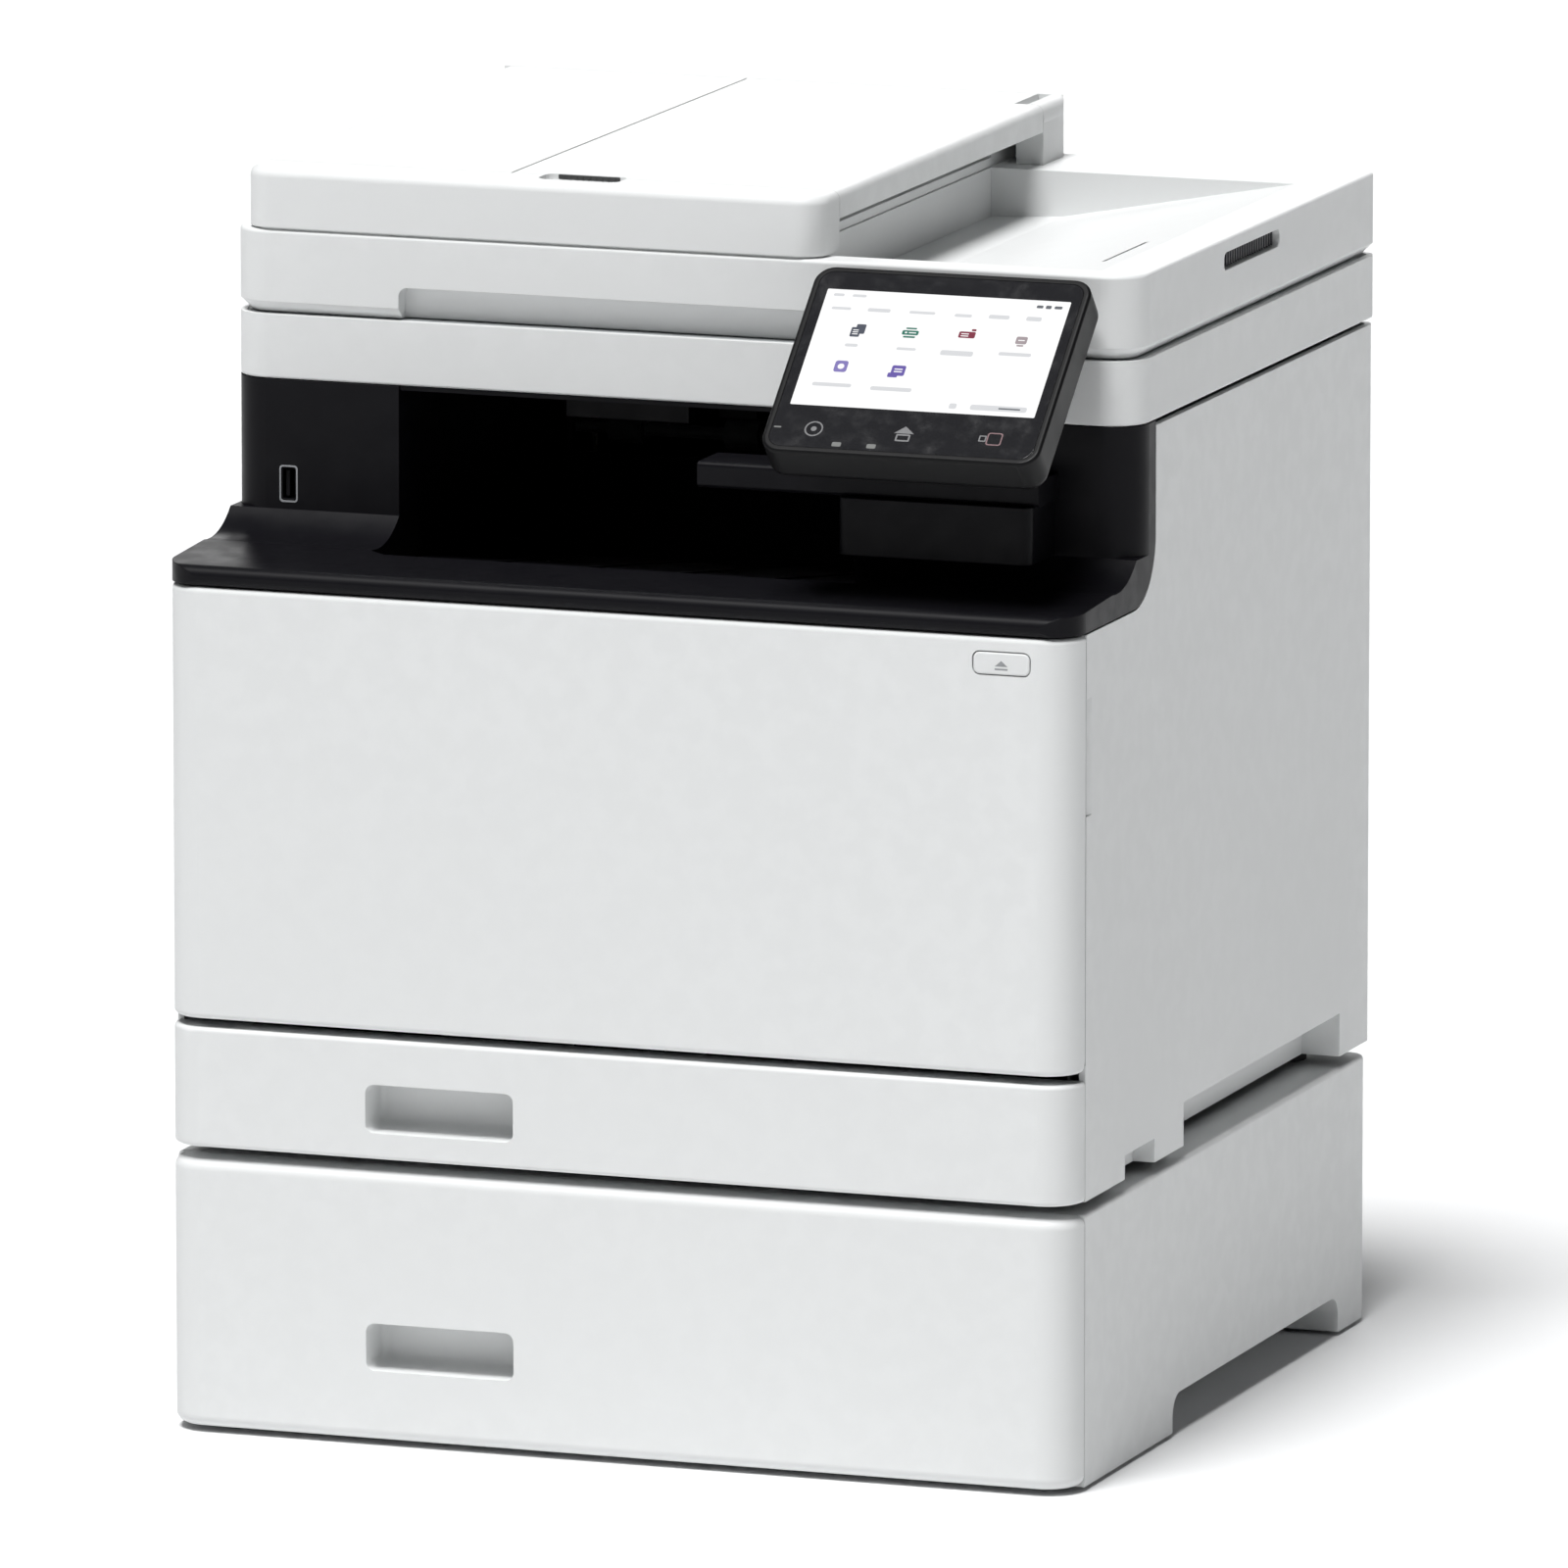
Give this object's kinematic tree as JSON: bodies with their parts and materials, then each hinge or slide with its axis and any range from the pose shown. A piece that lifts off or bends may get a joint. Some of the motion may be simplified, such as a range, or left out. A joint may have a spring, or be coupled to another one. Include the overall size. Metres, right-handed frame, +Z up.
{
  "type": "desktop multifunction copier",
  "caption": "Desktop colour laser copier with hinged scanner lid, document feeder, tilting touch panel, front door, toner drawer and stacked paper cassettes.",
  "frame": {"origin": "centre of the overall box at floor level", "axes": "+Z up, -Y towards the front, +X to the user's right"},
  "size_m": [0.425, 0.4598, 0.5548],
  "materials": {
    "white_plastic": "fine satin texture",
    "pale_grey_plastic": "satin",
    "dark_grey_plastic": "satin",
    "black_plastic": "fine satin texture",
    "panel_plastic": "satin",
    "touch_glass": "polished",
    "steel_plate": "galvanised",
    "steel_rod": "polished",
    "roller_rubber": "matte",
    "rubber": "matte",
    "clear_glass": "polished",
    "white_pad": "soft matt film",
    "circuit_board": "satin",
    "toner_yellow": "satin",
    "toner_magenta": "satin",
    "toner_cyan": "satin",
    "toner_black": "satin"
  },
  "bodies": {
    "main_body": {"feeder_housing": "white_plastic", "rubber_feet": "rubber", "chassis": "steel_plate", "side_cover_left": "white_plastic", "side_cover_right": "white_plastic", "rear_panel": "white_plastic", "front_frame": "black_plastic", "output_tray": "black_plastic", "cavity_back": "black_plastic", "transfer_belt": "dark_grey_plastic", "laser_unit": "dark_grey_plastic", "fuser_frame": "steel_plate", "main_board": "circuit_board", "power_supply": "steel_plate", "drive_unit": "steel_plate", "scanner_base": "white_plastic", "scanner_top": "pale_grey_plastic", "platen_glass": "clear_glass", "guide_rod": "steel_rod", "hinge_brackets": "steel_plate", "panel_bracket": "black_plastic", "sockets": "black_plastic"},
    "door": {"front_door": "white_plastic"},
    "door_button": {"door_button": "white_plastic"},
    "toner_drawer": {"toner_drawer": "dark_grey_plastic", "toner_yellow": "toner_yellow", "toner_magenta": "toner_magenta", "toner_cyan": "toner_cyan", "toner_black": "toner_black"},
    "rear_cover": {"rear_cover": "white_plastic"},
    "exit_roller": {"exit_roller": "roller_rubber"},
    "fuser_roller": {"fuser_roller": "roller_rubber"},
    "pressure_roller": {"pressure_roller": "roller_rubber"},
    "scan_carriage": {"scan_carriage": "dark_grey_plastic"},
    "lid": {"lid": "white_plastic", "platen_pad": "white_pad", "adf_frame": "white_plastic"},
    "feed_cover": {"adf_feed_cover": "white_plastic"},
    "doc_tray": {"adf_doc_tray": "white_plastic"},
    "adf_guide_front": {"adf_guide_front": "pale_grey_plastic"},
    "adf_guide_rear": {"adf_guide_rear": "pale_grey_plastic"},
    "adf_pick_roller": {"adf_pick_roller": "roller_rubber"},
    "adf_feed_roller": {"adf_feed_roller": "roller_rubber"},
    "control_panel": {"panel_housing": "panel_plastic", "touch_panel": "touch_glass"},
    "power_rocker": {"power_rocker": "black_plastic"},
    "pickup_roller_1": {"pickup_roller_1": "roller_rubber"},
    "pickup_roller_2": {"pickup_roller_2": "roller_rubber"},
    "cassette_1": {"cassette_1_front": "white_plastic", "cassette_1_tray": "dark_grey_plastic"},
    "cassette_1_lift_plate": {"cassette_1_lift_plate": "steel_plate"},
    "cassette_1_guide_left": {"cassette_1_guide_left": "pale_grey_plastic"},
    "cassette_1_guide_right": {"cassette_1_guide_right": "pale_grey_plastic"},
    "cassette_1_guide_rear": {"cassette_1_guide_rear": "pale_grey_plastic"},
    "cassette_2": {"cassette_2_front": "white_plastic", "cassette_2_tray": "dark_grey_plastic"},
    "cassette_2_lift_plate": {"cassette_2_lift_plate": "steel_plate"},
    "cassette_2_guide_left": {"cassette_2_guide_left": "pale_grey_plastic"},
    "cassette_2_guide_right": {"cassette_2_guide_right": "pale_grey_plastic"},
    "cassette_2_guide_rear": {"cassette_2_guide_rear": "pale_grey_plastic"}
  },
  "joints": [
    {"name": "door_hinge", "type": "hinge", "parent": "main_body", "child": "door", "pos_m": [0, -0.2122, 0.1925], "axis": [1, 0, 0], "range_deg": [0, 90]},
    {"name": "door_button_press", "type": "slide", "parent": "door", "child": "door_button", "axis": [0, 1, 0], "range_m": [0, 0.002], "stiffness_N_per_m": 600},
    {"name": "toner_slide", "type": "slide", "parent": "main_body", "child": "toner_drawer", "axis": [0, -1, 0], "range_m": [0, 0.104]},
    {"name": "rear_cover_hinge", "type": "hinge", "parent": "main_body", "child": "rear_cover", "pos_m": [-0.024, 0.2018, 0.199], "axis": [-1, 0, 0], "range_deg": [0, 85]},
    {"name": "exit_roller_spin", "type": "hinge", "parent": "main_body", "child": "exit_roller", "pos_m": [-0.024, 0.0908, 0.408], "axis": [1, 0, 0], "continuous": true},
    {"name": "fuser_roller_spin", "type": "hinge", "parent": "main_body", "child": "fuser_roller", "pos_m": [-0.024, 0.1398, 0.322], "axis": [1, 0, 0], "continuous": true},
    {"name": "pressure_roller_spin", "type": "hinge", "parent": "main_body", "child": "pressure_roller", "pos_m": [-0.024, 0.166, 0.322], "axis": [1, 0, 0], "continuous": true},
    {"name": "scan_carriage_slide", "type": "slide", "parent": "main_body", "child": "scan_carriage", "axis": [1, 0, 0], "range_m": [0, 0.33]},
    {"name": "lid_hinge", "type": "hinge", "parent": "main_body", "child": "lid", "pos_m": [0, 0.1938, 0.495], "axis": [-1, 0, 0], "range_deg": [0, 65]},
    {"name": "feed_cover_hinge", "type": "hinge", "parent": "lid", "child": "feed_cover", "pos_m": [-0.202, 0.0398, 0.533], "axis": [0, -1, 0], "range_deg": [0, 80]},
    {"name": "doc_tray_hinge", "type": "hinge", "parent": "lid", "child": "doc_tray", "pos_m": [0.06, 0.0398, 0.5485], "axis": [0, 1, 0], "range_deg": [0, 150]},
    {"name": "adf_guide_front_slide", "type": "slide", "parent": "doc_tray", "child": "adf_guide_front", "axis": [0, 1, 0], "range_m": [0, 0.055]},
    {"name": "adf_guide_rear_slide", "type": "slide", "parent": "doc_tray", "child": "adf_guide_rear", "axis": [0, -1, 0], "range_m": [0, 0.055]},
    {"name": "adf_feed_roller_spin", "type": "hinge", "parent": "lid", "child": "adf_feed_roller", "pos_m": [-0.15, 0.0388, 0.5385], "axis": [0, 1, 0], "continuous": true},
    {"name": "adf_pick_roller_spin", "type": "hinge", "parent": "lid", "child": "adf_pick_roller", "pos_m": [-0.112, 0.0388, 0.54], "axis": [0, 1, 0], "continuous": true},
    {"name": "panel_tilt", "type": "hinge", "parent": "main_body", "child": "control_panel", "pos_m": [0.1344, -0.1472, 0.512], "axis": [1, 0, 0], "range_deg": [-20, 28]},
    {"name": "power_rocker_tip", "type": "hinge", "parent": "main_body", "child": "power_rocker", "pos_m": [0.176, 0.1918, 0.205], "axis": [1, 0, 0], "range_deg": [0, 10]},
    {"name": "pickup_roller_1_spin", "type": "hinge", "parent": "main_body", "child": "pickup_roller_1", "pos_m": [-0.024, -0.1482, 0.176], "axis": [1, 0, 0], "continuous": true},
    {"name": "pickup_roller_2_spin", "type": "hinge", "parent": "main_body", "child": "pickup_roller_2", "pos_m": [-0.024, -0.1482, 0.1], "axis": [1, 0, 0], "continuous": true},
    {"name": "cassette_1_slide", "type": "slide", "parent": "main_body", "child": "cassette_1", "axis": [0, -1, 0], "range_m": [0, 0.28]},
    {"name": "cassette_1_plate_lift", "type": "hinge", "parent": "cassette_1", "child": "cassette_1_lift_plate", "pos_m": [-0.024, 0.1158, 0.1377], "axis": [-1, 0, 0], "range_deg": [0, 5]},
    {"name": "cassette_1_guide_left_slide", "type": "slide", "parent": "cassette_1", "child": "cassette_1_guide_left", "axis": [1, 0, 0], "range_m": [0, 0.055]},
    {"name": "cassette_1_guide_right_slide", "type": "slide", "parent": "cassette_1", "child": "cassette_1_guide_right", "axis": [-1, 0, 0], "range_m": [0, 0.055]},
    {"name": "cassette_1_guide_rear_slide", "type": "slide", "parent": "cassette_1", "child": "cassette_1_guide_rear", "axis": [0, -1, 0], "range_m": [0, 0.11]},
    {"name": "cassette_2_slide", "type": "slide", "parent": "main_body", "child": "cassette_2", "axis": [0, -1, 0], "range_m": [0, 0.28]},
    {"name": "cassette_2_plate_lift", "type": "hinge", "parent": "cassette_2", "child": "cassette_2_lift_plate", "pos_m": [-0.024, 0.1158, 0.0297], "axis": [-1, 0, 0], "range_deg": [0, 12]},
    {"name": "cassette_2_guide_left_slide", "type": "slide", "parent": "cassette_2", "child": "cassette_2_guide_left", "axis": [1, 0, 0], "range_m": [0, 0.055]},
    {"name": "cassette_2_guide_right_slide", "type": "slide", "parent": "cassette_2", "child": "cassette_2_guide_right", "axis": [-1, 0, 0], "range_m": [0, 0.055]},
    {"name": "cassette_2_guide_rear_slide", "type": "slide", "parent": "cassette_2", "child": "cassette_2_guide_rear", "axis": [0, -1, 0], "range_m": [0, 0.11]}
  ],
  "couplings": [
    {"joint": "toner_slide", "follows": "door_hinge", "m_per_rad": 0.066},
    {"joint": "pressure_roller_spin", "follows": "fuser_roller_spin", "ratio": -1},
    {"joint": "adf_guide_rear_slide", "follows": "adf_guide_front_slide", "ratio": 1},
    {"joint": "adf_pick_roller_spin", "follows": "adf_feed_roller_spin", "ratio": 0.88889},
    {"joint": "cassette_1_guide_right_slide", "follows": "cassette_1_guide_left_slide", "ratio": 1},
    {"joint": "cassette_2_guide_right_slide", "follows": "cassette_2_guide_left_slide", "ratio": 1}
  ]
}
